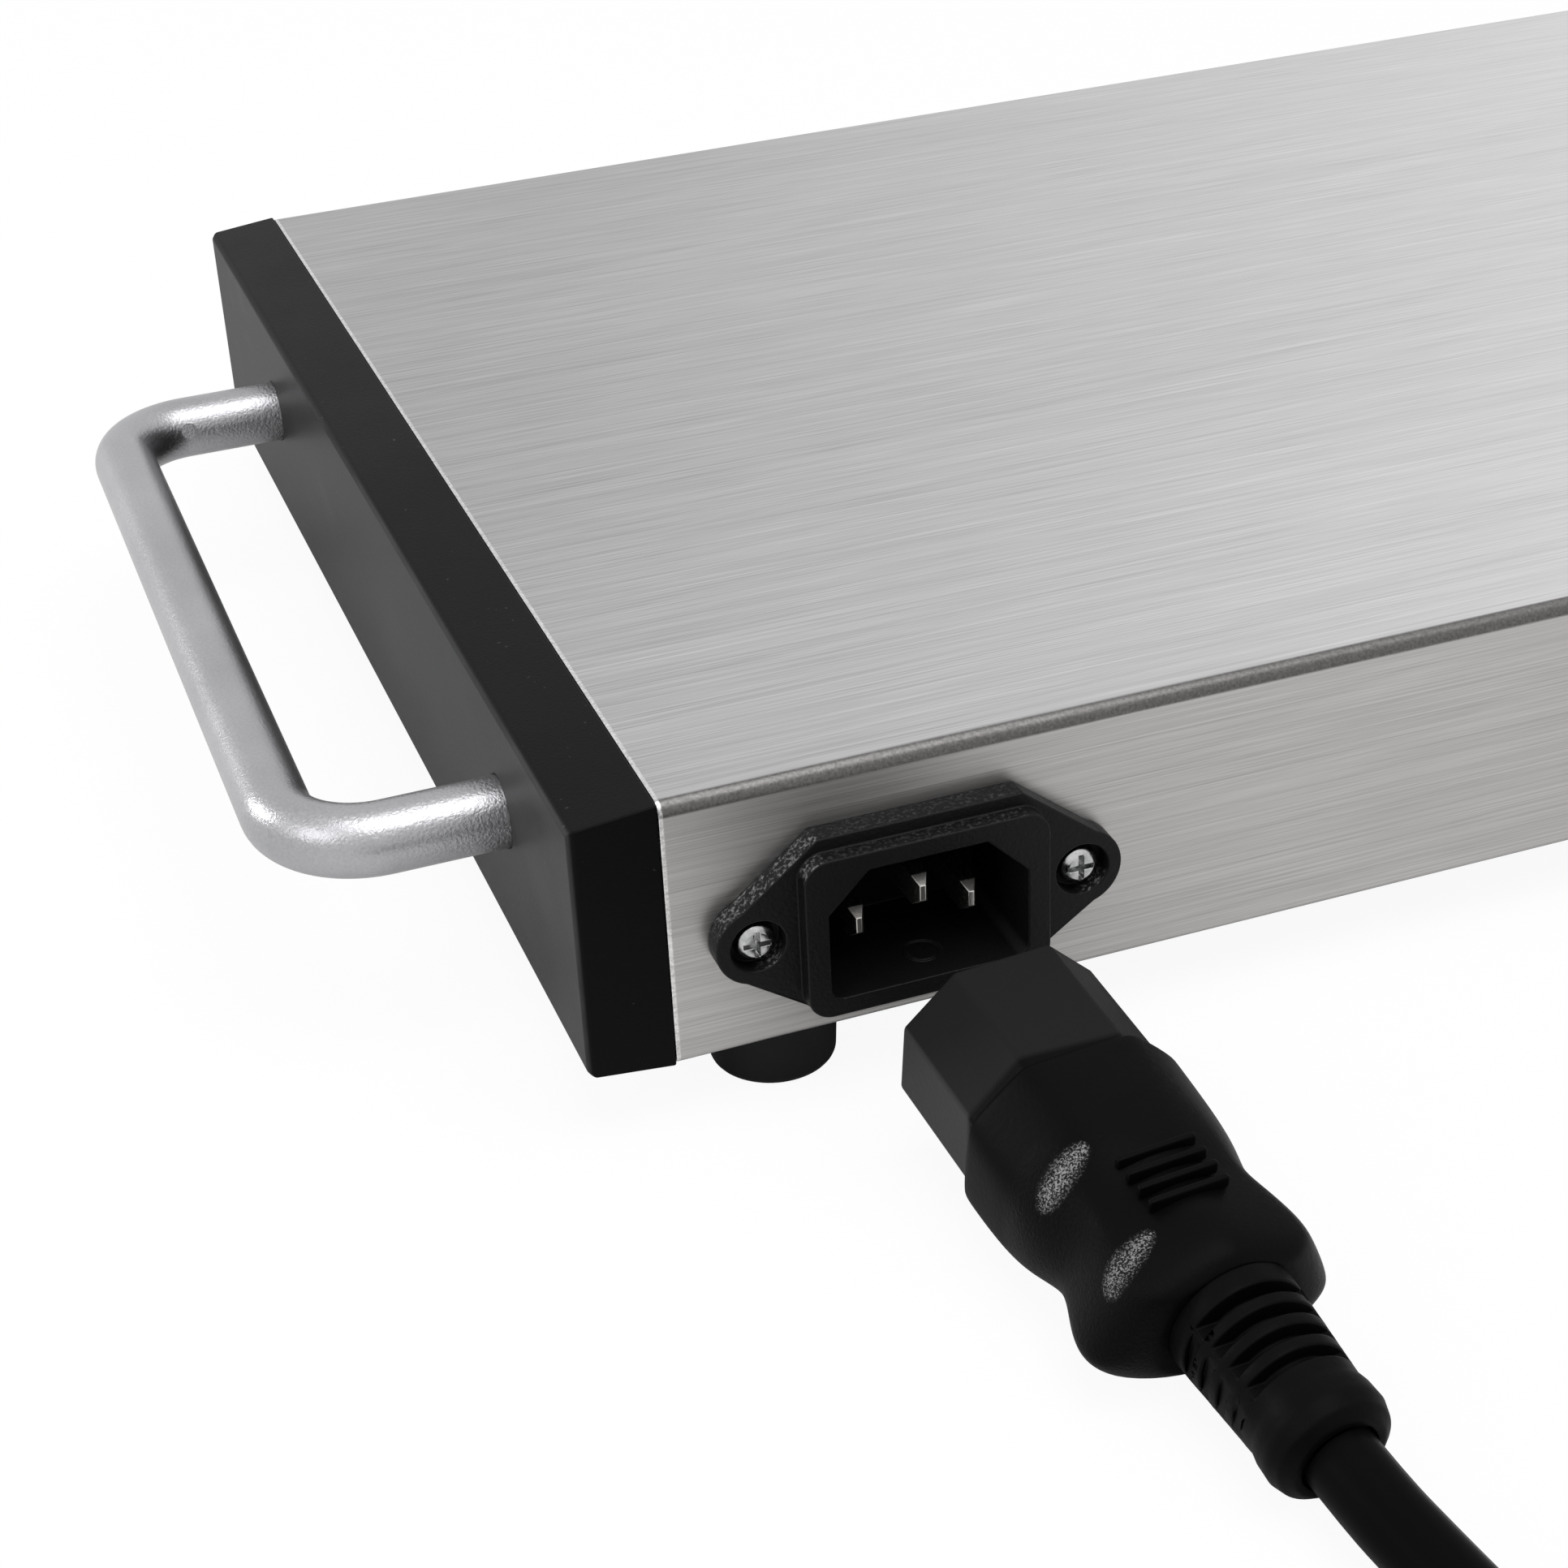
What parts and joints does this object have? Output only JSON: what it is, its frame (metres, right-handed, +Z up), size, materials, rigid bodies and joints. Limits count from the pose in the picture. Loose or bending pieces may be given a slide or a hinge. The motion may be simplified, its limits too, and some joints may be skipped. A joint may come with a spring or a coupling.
{
  "type": "electric food warmer tray",
  "caption": "Flat electric food warmer with a brushed steel top, end caps, bar handles, a rear mains inlet, a front control knob and a detachable mains lead.",
  "frame": {"origin": "on the table, under the middle of the outline of the tray with its handles, knob and inlet", "axes": "+X along the tray towards the end nearest the mains inlet, +Y out of the rear face that holds the inlet, +Z up"},
  "size_m": [0.5181, 0.4563, 0.043],
  "materials": {
    "brushed_steel": "long-grain brushed stainless sheet",
    "plated_steel": "zinc-plated steel",
    "cap_plastic": "fine-grained black moulding",
    "satin_aluminium": "bead-blasted, clear anodised",
    "foot_rubber": "smooth black rubber",
    "inlet_plastic": "grained black moulding",
    "nickel_brass": "nickel-plated brass",
    "screw_steel": "bright plated steel",
    "plain_aluminium": "mill finish sheet",
    "element_sheath": "dull steel sheath",
    "ceramic_fibre": "pressed ceramic fibre",
    "plain_brass": "turned brass",
    "ceramic": "glazed ceramic",
    "knob_plastic": "satin black moulding",
    "amber_lens": "translucent amber",
    "lead_pvc": "fine-grained black PVC",
    "cord_pvc": "smooth black PVC",
    "tie_strap": "woven black strap"
  },
  "bodies": {
    "root": {"top_shell": "brushed_steel", "base_plate": "plated_steel", "end_cap_right": "cap_plastic", "end_cap_left": "cap_plastic", "handle_right": "satin_aluminium", "handle_left": "satin_aluminium", "handle_screws_right": "plated_steel", "handle_screws_left": "plated_steel", "foot_rear_right": "foot_rubber", "foot_rear_left": "foot_rubber", "foot_front_right": "foot_rubber", "foot_front_left": "foot_rubber", "foot_screws": "plated_steel", "foot_nuts": "plated_steel", "inlet_housing": "inlet_plastic", "inlet_pins": "nickel_brass", "inlet_screws": "screw_steel", "inlet_nuts": "plated_steel", "heat_plate": "plain_aluminium", "heating_element": "element_sheath", "element_clips": "plated_steel", "insulation_pad": "ceramic_fibre", "heat_shield": "plated_steel", "shield_spacers": "plain_brass", "spacer_screws": "plated_steel", "thermal_cutout": "inlet_plastic", "terminal_block": "ceramic", "thermostat_body": "ceramic", "thermostat_nut": "plated_steel", "dial_ring": "plain_aluminium", "lamp_bezel": "knob_plastic", "lamp_lens": "amber_lens", "connector_nose": "lead_pvc", "connector_grip": "lead_pvc", "strain_relief": "lead_pvc", "cord_run": "cord_pvc", "cord_coil": "cord_pvc", "cord_tie": "tie_strap", "plug_body": "lead_pvc", "plug_pins": "nickel_brass"},
    "knob": {"control_knob": "knob_plastic", "thermostat_shaft": "plated_steel"}
  },
  "joints": [
    {"name": "knob_turn", "type": "hinge", "parent": "root", "child": "knob", "pos_m": [0.12, -0.0982, 0.0255], "axis": [0, 1, 0], "range_deg": [0, 270]}
  ]
}
